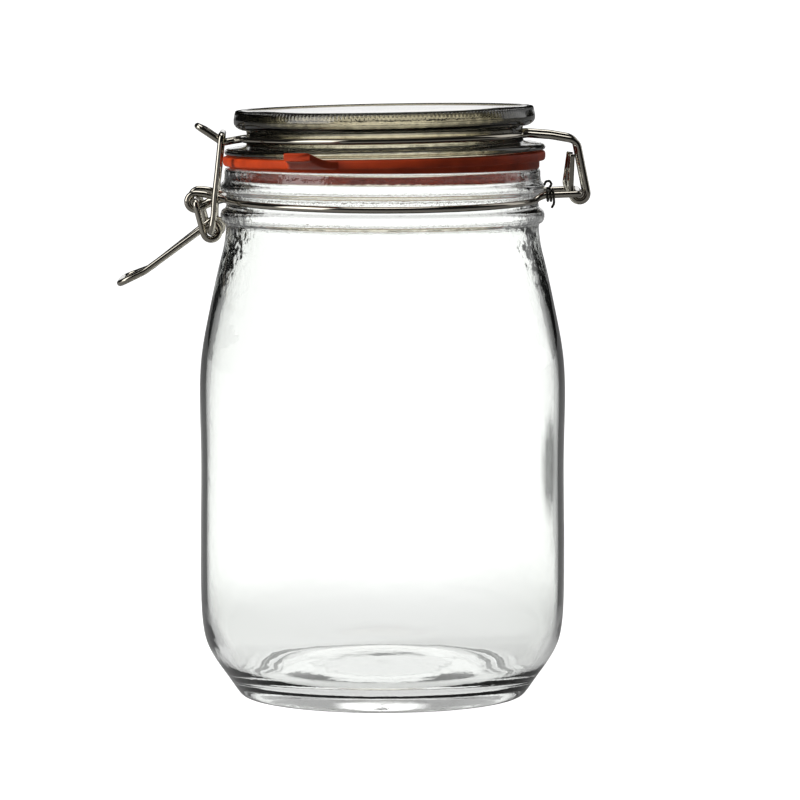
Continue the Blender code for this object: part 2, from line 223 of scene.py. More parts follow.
# A circle carried along the line: p + radius (n cos a + b sin a). n is kept from twisting by reflecting it from
# station to station, and on a closed line the leftover twist is shared out evenly.
def wireTube(line, radius, closed, sides=16):
    step = np.roll(line, -1, 0) - np.roll(line, 1, 0) if closed else np.gradient(line, axis=0)
    t = step / np.linalg.norm(step, axis=1)[:, None]
    n = np.zeros_like(line)
    aslant = [0.31, 0.52, 0.8]        # any direction that no wire starts along
    n[0] = np.cross(t[0], aslant)
    n[0] /= np.linalg.norm(n[0])
    for i in range(1, len(line)):
        v = n[i - 1] - t[i] * (n[i - 1] @ t[i])
        n[i] = v / np.linalg.norm(v)
    b = np.cross(t, n)
    twist = np.zeros(len(line))
    if closed:
        v = n[-1] - t[0] * (n[-1] @ t[0])
        twist = -math.atan2(v @ b[0], v @ n[0]) * np.arange(len(line)) / len(line)
    a = np.arange(sides)[None, :] / sides * 2 * math.pi + twist[:, None]
    ring = n[:, None] * np.cos(a)[..., None] + b[:, None] * np.sin(a)[..., None]
    tube = line[:, None] + radius * ring
    if closed:
        return tube.reshape(-1, 3), [f[::-1] for f in gridFaces(len(line), sides, True)]
    bevel = 0.12                      # cut ends: a narrow bevel and a flat face
    first = (line[0] - t[0] * bevel)[None] + (radius - bevel) * ring[0]
    last = (line[-1] + t[-1] * bevel)[None] + (radius - bevel) * ring[-1]
    rings = np.concatenate([first[None], tube, last[None]])
    poles = np.array([line[0] - t[0] * bevel, line[-1] + t[-1] * bevel])
    faces = [f[::-1] for f in turnedFaces(len(rings), sides)]
    return np.vstack([rings.reshape(-1, 3), poles]), faces


glass = {
    "ior": 1.52,
    "waveScale": 110.0,               # slow ripples about 9 mm apart
    "fineScale": 420.0,               # the mould's marks about 2.4 mm apart
    "unevenBy": 0.8,                  # how far the marks move the painted dark outline
    "unevenShift": -0.24,
    "markHeight": 3.0,                # the marks against the slow ripples
    "ripple": 0.10,                   # strength of the bump, and its depth in metres
    "rippleDepth": 0.0005,
    "slantFrom": 0.42,                # facing values between which the painted reflection patch turns grey
    "slantTo": 0.52,
    "paintedReflectionGrey": "#545654",
    "jarTint": "#fcfdfc",
    # Painted shade and highlight: the jar's dark outline and pale rim by facing value, standing in for the room seen
    # in its edges
    "jarOutlineShadeStops": [(0.0, "#fcfdfc"), (0.68, "#f0f3ef"), (0.75, "#060706"), (0.87, "#020202"), (0.93, "#8a8e89"),
                 (1.0, "#e8ebe6")],
    "lidTint": "#efebdc",
    # Painted shade: the lid's beige and dark outline by facing value, standing in for the room seen through its thick
    # rim
    "lidOutlineShadeStops": [(0.0, "#cfc6a8"), (0.16, "#b9b092"), (0.32, "#5a5540"), (0.46, "#0b0a06"), (0.9, "#050504"),
                 (1.0, "#3c3a33")],
}


# Clear pressed soda-lime glass, slightly rippled by the mould. Its outer wall carries a painted dark outline that
# stands in for the dark room seen in the glass's edges: the tint follows Layer Weight's facing value f through the
# stops (f, colour), mixed in by the mark paintedOutline. Where mouldMarksAndShade is strong the wall is finely uneven
# and the painted outline ragged. Where paintedReflectionPatch is strong a painted reflection makes it look grey from
# a slant.
def sodaLimeGlass(name, tint, stops):
    material, tree, output = newMaterial(name)
    facing = addNode(tree, "ShaderNodeLayerWeight", inputs={"Blend": 0.5}).outputs["Facing"]
    where = addNode(tree, "ShaderNodeTexCoord").outputs["Object"]
    wave, fine = [
        addNode(tree, "ShaderNodeTexNoise", inputs={"Vector": where, "Scale": scale, "Detail": detail}).outputs["Fac"]
        for scale, detail in ((glass["waveScale"], 2.0), (glass["fineScale"], 3.0))]
    skin, mouldAndShade, reflectionPatch = [
        addNode(tree, "ShaderNodeAttribute", {"attribute_name": mark}).outputs["Fac"]
        for mark in ("paintedOutline", "mouldMarksAndShade", "paintedReflectionPatch")]

    # Painted shade: the dark outline starts sooner where the mould marked the wall: f + mouldAndShade x (fine x
    # unevenBy + unevenShift)
    uneven = addNode(tree, "ShaderNodeMath", {"operation": "MULTIPLY_ADD"},
                     {0: fine, 1: glass["unevenBy"], 2: glass["unevenShift"]}).outputs[0]
    thick = addNode(tree, "ShaderNodeMath", {"operation": "MULTIPLY_ADD"},
                    {0: mouldAndShade, 1: uneven, 2: facing}).outputs[0]
    edge = addNode(tree, "ShaderNodeValToRGB", inputs={"Fac": thick})
    placeStops(edge.color_ramp, stops)
    outlined = addNode(tree, "ShaderNodeMix", {"data_type": "RGBA"},
                       {"Factor": skin, 6: hexColour(tint), 7: edge.outputs["Color"]}).outputs[2]

    slanting = addNode(tree, "ShaderNodeMapRange", inputs={
        "Value": facing, "From Min": glass["slantFrom"], "From Max": glass["slantTo"]}).outputs["Result"]
    greyReflection = addNode(tree, "ShaderNodeMath", {"operation": "MULTIPLY"}, {0: reflectionPatch, 1: slanting}).outputs[0]
    colour = addNode(tree, "ShaderNodeMix", {"data_type": "RGBA"},
                     {"Factor": greyReflection, 6: outlined, 7: hexColour(glass["paintedReflectionGrey"])}).outputs[2]

    # Height of the surface: fine x (mouldAndShade x markHeight) + wave
    tall = addNode(tree, "ShaderNodeMath", {"operation": "MULTIPLY"}, {0: mouldAndShade, 1: glass["markHeight"]}).outputs[0]
    height = addNode(tree, "ShaderNodeMath", {"operation": "MULTIPLY"}, {0: fine, 1: tall}).outputs[0]
    height = addNode(tree, "ShaderNodeMath", {"operation": "ADD"}, {0: height, 1: wave}).outputs[0]
    bump = addNode(tree, "ShaderNodeBump", inputs={
        "Height": height, "Strength": glass["ripple"], "Distance": glass["rippleDepth"]}).outputs["Normal"]
    shader = addNode(tree, "ShaderNodeBsdfPrincipled", inputs={
        "Base Color": colour, "Normal": bump, "Roughness": 0.0, "IOR": glass["ior"], "Transmission Weight": 1.0})
    tree.links.new(shader.outputs["BSDF"], output.inputs["Surface"])
    return material


rubber = {
    "stops": [(0.35, "#8a2b0d"), (0.70, "#a43610")],
    "mottleScale": 180.0,             # blotches about 5 mm apart
    "grainScale": 2500.0,             # the mould's grain, 0.4 mm
    "grain": 0.25,                    # strength of the bump, and its depth in metres
    "grainDepth": 0.0001,
    "roughness": 0.55,
    "specular": 0.25,
    "glow": 0.08,                     # light that passes into the rubber, and how far in metres
    "glowDepth": 0.002,
    "glowByColour": (1.0, 0.3, 0.1),
}


# Moulded orange-red natural rubber: soft gloss, a little light passes into it.
def naturalRubber():
    material, tree, output = newMaterial("orangeNaturalRubber")
    where = addNode(tree, "ShaderNodeTexCoord").outputs["Object"]
    mottle, grain = [
        addNode(tree, "ShaderNodeTexNoise", inputs={"Vector": where, "Scale": scale, "Detail": detail}).outputs["Fac"]
        for scale, detail in ((rubber["mottleScale"], 3.0), (rubber["grainScale"], 2.0))]
    colour = addNode(tree, "ShaderNodeValToRGB", inputs={"Fac": mottle})
    placeStops(colour.color_ramp, rubber["stops"])
    bump = addNode(tree, "ShaderNodeBump", inputs={
        "Height": grain, "Strength": rubber["grain"], "Distance": rubber["grainDepth"]}).outputs["Normal"]
    shader = addNode(tree, "ShaderNodeBsdfPrincipled", inputs={
        "Base Color": colour.outputs["Color"], "Normal": bump, "Roughness": rubber["roughness"],
        "Specular IOR Level": rubber["specular"], "Subsurface Weight": rubber["glow"],
        "Subsurface Scale": rubber["glowDepth"], "Subsurface Radius": rubber["glowByColour"]})
    tree.links.new(shader.outputs["BSDF"], output.inputs["Surface"])
    return material


steel = {
    "scuffScale": 900.0,              # scuffs about 1 mm apart
    "scuffLow": 0.3, "scuffHigh": 0.7,
    "smoothest": 0.7, "roughest": 1.5,
    "brightColour": "#a49f94", "brightRoughness": 0.09,
    "tieColour": "#3b3834", "tieRoughness": 0.30,
}


# Drawn steel wire, polished by the die and faintly scuffed: its roughness lies between rough x smoothest and
# rough x roughest.
def drawnSteel(name, colour, rough):
    material, tree, output = newMaterial(name)
    where = addNode(tree, "ShaderNodeTexCoord").outputs["Object"]
    scuff = addNode(tree, "ShaderNodeTexNoise", inputs={
        "Vector": where, "Scale": steel["scuffScale"], "Detail": 3.0}).outputs["Fac"]
    gloss = addNode(tree, "ShaderNodeMapRange", inputs={
        "Value": scuff, "From Min": steel["scuffLow"], "From Max": steel["scuffHigh"],
        "To Min": rough * steel["smoothest"], "To Max": rough * steel["roughest"]}).outputs["Result"]
    shader = addNode(tree, "ShaderNodeBsdfPrincipled", inputs={
        "Base Color": hexColour(colour), "Metallic": 1.0, "Roughness": gloss})
    tree.links.new(shader.outputs["BSDF"], output.inputs["Surface"])
    return material


jarGlass = sodaLimeGlass("clearSodaLimeGlass", glass["jarTint"], glass["jarOutlineShadeStops"])
lidGlass = sodaLimeGlass("lidSodaLimeGlass", glass["lidTint"], glass["lidOutlineShadeStops"])
sealRubber = naturalRubber()
brightWire = drawnSteel("brightDrawnSteel", steel["brightColour"], steel["brightRoughness"])
tieIron = drawnSteel("annealedIron", steel["tieColour"], steel["tieRoughness"])
print("materials made")


# Profiles are (radius, height). They run from the middle of the floor up the inside, over the lip and down the
# outside to the middle of the underside.
jar = {
    "inside": [(0, 8.8), (16, 8.4), (22.5, 7.9), (27.0, 7.0), (32.0, 6.2), (38.8, 5.9), (43.4, 9.2), (46.6, 13.8),
               (48.8, 19), (49.8, 26), (50, 35), (49.7, 68), (50.2, 88), (49.7, 99), (47.5, 109), (45.5, 118),
               (43.7, 126), (42.4, 134), (42.3, 138.5), (42.8, 142.5), (43.2, 146.5), (43.4, 149.5),
               (42.7, 150.2), (41.1, 151.8), (40.4, 152.5), (40.4, 153.0)],
    "lip": [(40.7, 153.4), (41.2, 153.4), (44.8, 153.4), (45.5, 153.1), (45.7, 152.5), (45.7, 149.7)],
    "finish": [(46.9, 148.6), (46.9, 147.0), (46.3, 146.4), (45.1, 146.2), (45.1, 142.0), (46.2, 141.4),
               (46.9, 140.5), (46.9, 138.6), (46.3, 137.6), (45.3, 137.2)],
    "outside": [(45.3, 135), (45.9, 130.5), (47.3, 125.2), (48.7, 119), (50.3, 111.3), (51.9, 103.3), (52.8, 96.3),
                (53.1, 87), (52.6, 69), (52.9, 48), (52.9, 28), (52.2, 19), (50.8, 14.3), (48.5, 10.4),
                (46.0, 6.9), (44.0, 4.1), (42.6, 2.0), (41.4, 0.5)],
    "foot": [(40.5, 0.0), (39.2, 0.0), (38.1, 0.9), (34.5, 1.5), (28.0, 2.3), (15.0, 3.6), (0, 4.0)],
    "segments": 160,
    "wobble": 0.16,                           # waves of the inner wall, left out of its floor and of its top rings
    "wobbleOutside": 30,
    "wobbleTop": 20,
    "waves": [(1.0, 2, 0.7, 0.03), (0.6, 3, 2.1, -0.05), (0.4, 5, 0.0, 0.09)],    # size, count, start, twist per mm
    # The mould's marks at the shoulder and heel roughen the wall and its painted dark outline; the painted outline is
    # paler at the heel and neck
    "shoulderMarksFrom": 112, "shoulderMarksOver": 20,
    "heelMarks": 0.3, "heelMarksBelow": 16, "heelMarksOver": 8,
    "heelPaler": 0.7, "heelPalerBelow": 26, "heelPalerOver": 14,
    "neckPaler": 0.5, "neckPalerFrom": 137, "neckPalerOver": 4,
    # The painted reflection, a grey patch, placed by angle and height on the right-hand wall
    "patchAngle": -0.43, "patchHalfAngle": 0.105,                                 # radians
    "patchZ": 69, "patchHalfHeight": 17, "patchSoftness": 1.6,
}


# The profile turned about the axis. Marks: how strongly the outer wall takes the painted dark outline, how strongly
# the mould has marked it and roughened that outline, and a painted reflection, a grey patch on the right-hand wall.
def makeJar():
    outline = skinnedOutline(jar, [("inside", 0), ("lip", 1), ("finish", 1), ("outside", 1), ("foot", 0)])
    profile = cutCorners(outline, 2)
    innerRings = 4 * len(jar["inside"]) - jar["wobbleTop"]      # two rounds of cutting turn each point into four

    # Pressed glass is a little thicker and thinner along its inner wall: r + wobble x the sum of the waves.
    def uneven(r, h, a):
        inner = (np.arange(len(r)) < innerRings)[:, None] & (r > jar["wobbleOutside"])
        wave = sum(size * np.sin(count * a + start + h * twist) for size, count, start, twist in jar["waves"])
        return r + np.where(inner, jar["wobble"] * wave, 0), h

    points, faces, skin = turnedSolid(profile, jar["segments"], uneven)
    z = points[:, 2]
    # Painted shade: these marks roughen the painted dark outline at the shoulder and heel and make it paler at the
    # heel and neck.
    shoulderMarks = np.clip((z - jar["shoulderMarksFrom"]) / jar["shoulderMarksOver"], 0, 1)
    heelMarks = np.clip((jar["heelMarksBelow"] - z) / jar["heelMarksOver"], 0, 1)
    heelPaler = np.clip((jar["heelPalerBelow"] - z) / jar["heelPalerOver"], 0, 1)
    neckPaler = np.clip((z - jar["neckPalerFrom"]) / jar["neckPalerOver"], 0, 1)
    paler = 1 - jar["heelPaler"] * heelPaler - jar["neckPaler"] * neckPaler

    # The painted reflection patch is an ellipse in angle and height with soft ends: softness x (1 - across^2 - up^2),
    # from 0 to 1.
    across = (np.arctan2(points[:, 1], points[:, 0]) - jar["patchAngle"]) / jar["patchHalfAngle"]
    up = (z - jar["patchZ"]) / jar["patchHalfHeight"]
    reflectionPatch = np.clip(jar["patchSoftness"] * (1 - across ** 2 - up ** 2), 0, 1)

    marks = {"paintedOutline": skin * paler, "mouldMarksAndShade": skin * (shoulderMarks + jar["heelMarks"] * heelMarks),
             "paintedReflectionPatch": skin * reflectionPatch}
    return addPiece("jarBody", points, faces, jarGlass, "jar", ["jar"], marks)


# The lid's profile is (radius, height above sealZ), from the middle of the top down to the middle of the hollow.
lid = {
    "centre": 0.96,
    "sealZ": 155.84,
    "top": [(0, 15.3), (40.5, 15.3)],
    "raised": [(40.9, 15.75), (42.8, 15.75), (43.2, 15.35)],
    "rim": [(43.7, 12.4), (43.2, 11.2), (42.0, 10.3), (40.3, 10.0), (39.9, 9.6)],
    "groove": [(39.9, 6.0), (41.0, 5.4), (45.5, 4.9), (46.4, 4.3), (46.4, 3.4), (45.9, 3.0)],
    "plug": [(39.9, 3.0), (39.5, 2.4), (39.5, -0.4), (38.9, -1.0), (36.8, -1.0)],
    "hollow": [(35.6, 0.2), (35.1, 8.5), (33.0, 11.0), (30.0, 11.4), (0, 11.4)],
    "teeth": 220,
    "pointsPerTooth": 4,
    "toothDepth": 0.62,
    "teethOutside": 41.6,
    "teethAbove": 15.2,
    "mouldMarksAndShade": 0.5,
}


# The profile turned about the lid's axis, then tilted about the hinge.
def makeLid():
    outline = skinnedOutline(lid, [("top", 0), ("raised", 1), ("rim", 1), ("groove", 1), ("plug", 0), ("hollow", 0)])
    profile = cutCorners(outline, 1)

    # A triangle wave round the raised edge lowers it into teeth: h - toothDepth x |2 fraction(a teeth / 2 pi) - 1|.
    def knurl(r, h, a):
        wave = np.abs((a * lid["teeth"] / (2 * math.pi)) % 1 * 2 - 1)
        onEdge = (r > lid["teethOutside"]) & (h > lid["teethAbove"])
        return r, h - np.where(onEdge, lid["toothDepth"] * wave, 0)

    points, faces, skin = turnedSolid(profile, lid["teeth"] * lid["pointsPerTooth"], knurl, lid["centre"])
    points = tiltWithLid(points + [0, 0, lid["sealZ"]])
    # The painted dark outline on the lid's outer wall, roughened by the mould's marks
    marks = {"paintedOutline": skin, "mouldMarksAndShade": skin * lid["mouldMarksAndShade"]}
    return addPiece("lidDisc", points, faces, lidGlass, "lid", ["lid"], marks)


seal = {
    "centre": 0.7, "inner": 40.6, "outer": 46.64, "thick": 2.7, "edge": 0.45, "segments": 200,
    "footOuter": 44.9, "footZ": 153.5, "footTop": 0.05,
    "tabAngle": math.radians(26), "tabLength": 10.0, "tabWidth": 8.4, "tabThick": 2.4, "tabRise": 2.6,
    "tabRoot": 2.5,                   # the tab starts this far inside the ring
    "flare": 6.8, "flarePower": 2.5,  # how the tab widens towards the ring
    "tabCorner": 1.2,                 # how far the tip's corners are drawn back
    "tabRows": 40, "tabSides": 48,
    "squareAcross": 0.25, "squareUp": 0.35,
}


# A rounded rectangle carried round the axis, with a narrower foot below it. The foot ends level on the jar's lip,
# so it is taller on the hinge side: its two lowest rings are moved down to the lip after the ring has been tilted.
def makeSealRing():
    s, e = seal, seal["edge"]
    foot = [(s["inner"], 0), (s["footOuter"], 0), (s["footOuter"], s["footTop"])]
    ring = [(s["outer"] - e, 0), (s["outer"], e), (s["outer"], s["thick"] - e), (s["outer"] - e, s["thick"]),
            (s["inner"] + e, s["thick"]), (s["inner"], s["thick"] - e)]
    section = np.vstack([foot, cutCorners(ring, 2)])
    points = turnedPoints(section, s["segments"])
    points = tiltWithLid(points.reshape(-1, 3) + [s["centre"], 0, lid["sealZ"]])
    points[:2 * s["segments"], 2] = s["footZ"]
    faces = [f[::-1] for f in gridFaces(len(section), s["segments"], True)]
    return addPiece("sealRing", points, faces, sealRubber, "lid", ["seal"])


# A rounded oblong carried outwards: half width w / 2 + flare (1 - u) ^ flarePower, lifted by a smoothstep of u, and
# drawn in over its last half millimetre so the tip is rounded.
def makeSealTab():
    s = seal
    tipStart = 0.95
    u = np.concatenate([np.linspace(0, tipStart, s["tabRows"]), 1 - 0.05 * np.array([0.6, 0.35, 0.15, 0.05, 0.0])])
    tip = np.array([0.0] * s["tabRows"] + [0.05, 0.15, 0.35, 0.6, 0.8])
    a = np.linspace(0, 2 * math.pi, s["tabSides"], endpoint=False)
    sx = np.sign(np.cos(a)) * np.abs(np.cos(a)) ** s["squareAcross"]
    sz = np.sign(np.sin(a)) * np.abs(np.sin(a)) ** s["squareUp"]
    half = s["tabWidth"] / 2 + s["flare"] * (1 - u) ** s["flarePower"]
    half = half - tip * 0.6
    thick = s["tabThick"] / 2 - tip * 0.5
    cross = half[:, None] * sx
    lift = np.clip((u - 0.2) / 0.8, 0, 1)
    rise = s["tabRise"] * lift ** 2 * (3 - 2 * lift)
    root = s["outer"] - s["tabRoot"]
    along = u[:, None]
    # The root follows the ring's curve, and the tip's corners are drawn back.
    out = root + (s["outer"] + s["tabLength"] - root) * along - cross ** 2 / (2 * s["outer"]) * (1 - along)
    out = out - s["tabCorner"] * along ** 6 * sx ** 4
    z = lid["sealZ"] + s["thick"] / 2 + rise[:, None] + thick[:, None] * sz
    ca, sa = math.cos(s["tabAngle"]), math.sin(s["tabAngle"])
    rings = np.stack([-out * sa + cross * ca, -out * ca - cross * sa, z], -1)
    ends = np.stack([rings[0].mean(0), rings[-1].mean(0)])
    points = np.vstack([rings.reshape(-1, 3), ends]) + [s["centre"], 0, 0]
    faces = turnedFaces(len(u), s["tabSides"])
    return addPiece("sealTab", tiltWithLid(points), faces, sealRubber, "lid", [])


wireRadius = 0.95                     # the closure's wire is 1.9 mm thick, and its binding thinner


# A tube carried along the line, as one piece.
def addWire(name, line, closed, body, stands, radius=wireRadius, sides=16, material=brightWire):
    points, faces = wireTube(line, radius, closed, sides)
    return addPiece(name, points, faces, material, body, stands)


neckWire = {
    "ringR": 46.4, "ringZ": 144.9,
    "nearDrop": 1.6,                  # the ring sags on its near side
    "rearY": 15.0, "rearZ": 146.0,    # the two arms that carry the hinge bar
    "armX": 46.6, "armEnd": (44.8, 145.3), "armBend": 1.3,
    "eye": (-53.6, 0.0, 144.1), "eyeY": 13.5, "eyeR": 2.35, "eyeFrom": 92, "eyeTo": 290,
    "intoEye": [(-46.2, 145.0), (-51.0, 146.2)],
    "outOfEye": [(-50.0, 143.3), (-47.3, 144.2)],
    "frontIn": 2.7,                   # the front bar leaves the eyes this much nearer the middle
    "gap": 1.5,                       # degrees left for the bends at the ring's ends
    "spacing": 0.5,
}


# The ring's height at an angle: ringZ - nearDrop x max(0, -sin a).
def neckHeight(a):
    return neckWire["ringZ"] - neckWire["nearDrop"] * np.maximum(0, -np.sin(a))


# One half is the hinge bar, an arm, the ring's side, an eye and the front bar. Its mirror image closes the loop.
def makeNeckWire():
    w = neckWire
    innerY = w["eyeY"] - w["frontIn"]
    rear, front, inner = [math.degrees(math.asin(y / w["ringR"])) for y in (w["rearY"], w["eyeY"], innerY)]
    endX, endZ = w["armEnd"]
    rearY = -w["rearY"]
    bar = roundedLine([(hinge[0], 0, hinge[2]), (hinge[0], rearY, hinge[2]), (w["armX"], rearY, w["rearZ"]),
                       (endX, rearY, endZ)], w["armBend"])
    side = ringArc(0, w["ringR"], -rear - w["gap"], -180 + front, neckHeight)
    out = np.array([(x, -w["eyeY"], z) for x, z in w["intoEye"]])
    eye = arcY(w["eye"], w["eyeR"], w["eyeFrom"], w["eyeTo"], -w["eyeY"], -w["eyeY"])
    back = np.array([(x, y, z) for (x, z), y in zip(w["outOfEye"], (-w["eyeY"] + 0.6, -innerY - 0.3))])
    cross = ringArc(0, w["ringR"], -180 + inner - w["gap"], -180, neckHeight, 12)
    half = np.vstack([bar, side, out, eye, back, cross])[:-1]
    line = evenly(np.vstack([half, otherHalf(half)[:-1]]), w["spacing"], closed=True)
    return addWire("neckWire", line, True, "jar", ["neck_wire"])


tieWire = {
    "radius": 0.35, "spacing": 0.25, "sides": 10,
    "armX": 47.0, "turns": 2.5, "pitch": 0.9,
    "clear": 0.4,                     # between the two wires' faces
    "curl": [(-0.6, -0.8, 149.0), (-0.2, -0.9, 150.0), (0.9, -0.8, 150.2), (1.5, -0.5, 149.3), (0.9, -0.1, 148.2)],
    "tail": [(-0.1, -0.4, -0.9), (-0.7, -0.6, -1.9)],
}


# A curled end, a helix round the arm (x along it; y and z on a circle) and a short tail.
def makeTieWire():
    w = tieWire
    turnR = wireRadius + w["clear"] + w["radius"]
    x0, z0, y0 = w["armX"], neckWire["rearZ"] + 0.1, -neckWire["rearY"]
    curl = np.array([(x0 + x, y0 + y, z) for x, y, z in w["curl"]])
    t = np.linspace(0, w["turns"], 91)
    a = np.pi / 2 + 2 * np.pi * t
    turns = np.stack([x0 + w["pitch"] * t, y0 + turnR * np.cos(a), z0 + turnR * np.sin(a)], -1)
    line = evenly(np.vstack([curl, turns, turns[-1] + np.array(w["tail"])]), w["spacing"])
    return addWire("tieWire", line, False, "jar", ["tie_wire"], w["radius"], w["sides"], tieIron)


lidWire = {
    "ringR": 41.25, "ringRise": 7.6,  # the ring's height above the lid's sealZ
    "hookY": 12.5, "hookR": 2.28, "hookFrom": 185, "hookTo": 372,
    "tail": [(54.5, 157.6), (54.0, 148.6)],
    "farTail": [(53.4, 148.4), (54.8, 157.3)],
    "riser": [(56.3, 160.8), (54.5, 161.9), (48.8, 163.0)], "riserEnd": 42.0, "riserBend": 2.8,
    "tongueY": 4.2, "tongueIn": -42.0, "valley": (-45.8, 162.5),
    "tongue": (-53.6, 167.9), "farTongue": (-51.2, 166.3), "tongueBend": 2.2,
    "gap": 2.0,                       # degrees left for the bends at the ring's ends
    "spacing": 0.5,
}


# One half is a hinge hook, its riser and the ring's side down to the tongue. The two tails and the two sides of the
# tongue differ, and everything tilts with the lid.
def makeLidWire():
    w = lidWire
    ringZ = lid["sealZ"] + w["ringRise"]
    y, tongueY = -w["hookY"], w["tongueY"]
    arm, prong = [math.degrees(math.asin(side / w["ringR"])) for side in (w["hookY"], tongueY)]
    tail = np.array([(x, y, z) for x, z in w["tail"]])
    farTail = np.array([(x, -y, z) for x, z in w["farTail"]])
    hook = arcY(hinge, w["hookR"], w["hookFrom"], w["hookTo"], y, y)
    climb = [(x, y, z) for x, z in w["riser"]] + [(w["riserEnd"], y, ringZ + 0.2)]
    riser = roundedLine([hook[-1], *climb], w["riserBend"])[1:]
    side = ringArc(lid["centre"], w["ringR"], -arm - w["gap"], -180 + prong + w["gap"], ringZ)
    valley = np.array([w["valley"][0], -tongueY, w["valley"][1]])
    half = np.vstack([hook, riser, side, [(w["tongueIn"], -tongueY, ringZ - 0.3)], [valley]])
    (nearX, nearZ), (farX, farZ) = w["tongue"], w["farTongue"]
    tip = roundedLine([valley, (nearX, -tongueY, nearZ), (farX, tongueY, farZ), valley * [1, -1, 1]], w["tongueBend"])
    line = evenly(np.vstack([tail, half, tip[1:-1], otherHalf(half), farTail]), w["spacing"])
    return addWire("lidWire", tiltWithLid(line), False, "lid", ["lid_wire"])


# Angle in degrees where a line from the target touches a circle about an axis along Y.
def tangentAngle(centre, radius, target, side):
    dx, dz = target[0] - centre[0], target[-1] - centre[2]
    spread = math.acos(radius / math.hypot(dx, dz))
    return math.degrees(math.atan2(dz, dx) + side * spread) % 360


lever = {
    "coil": (-49.0, 0.0, 135.5), "coilR": 2.22, "coilY": 16.0,
    "pinIn": 1.9, "pinBend": 1.3,     # the pin ends this far inside the neck wire's eye
    "handleY": 13.6, "handleEndY": 14.8, "handleBend": 4.2,
    "bend": (-68.3, 124.1), "farBend": (-68.0, 123.4), "tip": (-75.45, 120.6),
    "spacing": 0.45,
}


# Each side is a pin in the eye, one turn of coil and a leg of the handle. The far bend sits a little lower.
def makeLever():
    w, eye, eyeY = lever, neckWire["eye"], neckWire["eyeY"]
    start = tangentAngle(w["coil"], w["coilR"], eye, 1)
    end = tangentAngle(w["coil"], w["coilR"], w["bend"], -1) + 360
    coil = arcY(w["coil"], w["coilR"], start, end, -w["coilY"], -w["handleY"], 60)
    pin = roundedLine([(eye[0], -eyeY + w["pinIn"], eye[2]), (eye[0], -w["coilY"], eye[2]), coil[0]],
                      w["pinBend"])[:-1]
    bendY, endY = w["handleEndY"] - 0.2, w["handleEndY"]
    (bx, bz), (fx, fz), (tx, tz) = w["bend"], w["farBend"], w["tip"]
    handle = roundedLine([coil[-1], (bx, -bendY, bz), (tx, -endY, tz), (tx, endY, tz), (fx, bendY, fz),
                          coil[-1] * [1, -1, 1]], w["handleBend"])[1:-1]
    line = evenly(np.vstack([pin, coil, handle, otherHalf(coil), otherHalf(pin)]), w["spacing"])
    return addWire("leverWire", line, False, "lever", ["lever"])


link = {
    "sideY": 18.4, "footY": 11.8, "top": (-45.9, 163.4), "bend": 1.8,
    "leg": [(-48.2, 140.4), (-47.8, 145.9), (-47.0, 152.8), (-46.3, 159.6)],
    "farOut": 0.8, "farDown": 0.6,    # the far leg stands further out and its end lower
    "spacing": 0.45,
}


# From a foot in the near coil up the near leg, across the tongue, and down the far leg to its foot.
def makeLink():
    w = link
    cx, cz = lever["coil"][0], lever["coil"][2]
    tx, tz = w["top"]
    near = [(cx, -w["footY"], cz), (cx, -w["sideY"], cz)] + [(x, -w["sideY"], z) for x, z in w["leg"]]
    near += [(tx, -w["sideY"], tz)]
    far = [(tx - w["farOut"], w["sideY"], tz - w["farDown"])]
    far += [(x - w["farOut"], w["sideY"], z) for x, z in w["leg"][::-1]]
    far += [(cx, w["sideY"], cz), (cx, w["footY"], cz)]
    line = evenly(roundedLine(near + far, w["bend"]), w["spacing"])
    return addWire("linkWire", line, False, "link", ["link_near", "link_far"])


makeJar()
makeLid()
makeSealRing()
makeSealTab()
makeNeckWire()
makeTieWire()
makeLidWire()
makeLever()
makeLink()
print("pieces made")


# Strengths, directions as parts of a unit vector, and sizes in metres.
stage = {
    "white": 1.12,                    # what the camera sees behind the jar
    "soft": 0.10,                     # even light on matt surfaces
    "dim": 0.015,                     # the unlit room, seen in gloss
    "boxLight": 3.8,                  # two soft boxes and a top light, seen in gloss
    "boxTurn": math.radians(300),     # puts the boxes at azimuth -150 and 30 degrees
    "boxSides": (0.70, 0.88),
    "boxBottom": (-0.12, 0.02),
    "boxTop": (0.70, 0.85),
    "farBox": 0.3,                    # how bright the right-hand box is against the left-hand one
    "farBoxFrom": (-0.2, 0.2),
    "topLight": (0.92, 0.97),
    "bentDim": 0.40,                  # the room met by rays that one thickness of glass has bent
    "bentLight": 0.5,
    "sheet": 1.0,                     # the white sheet behind the jar, met by rays that glance off the glass
    "sheetFrom": (0.955, 0.985),
    "sheetAbove": (-0.03, 0.0),
    "twoWalls": 3.5,                  # more bends than this lie behind two walls of glass
    "mirrorFloor": 0.10,
    "bentFloor": 0.62,
    "mattFloor": 0.12,
    "mattThroughGlass": 1.6,          # light that reaches the rubber's underside through the lip
    "floorDimmer": 0.08,              # the floor against what the camera sees behind it
    "floorColour": "#8a8a8a",
    "floorHalf": 40.0,
    "floorZ": -0.0002,
    "shadeFrom": 0.09,                # painted shadow: the floor looks greyer through the glass between these distances
    "shadeRadius": 0.42,
    "shadeLow": 0.64,
}


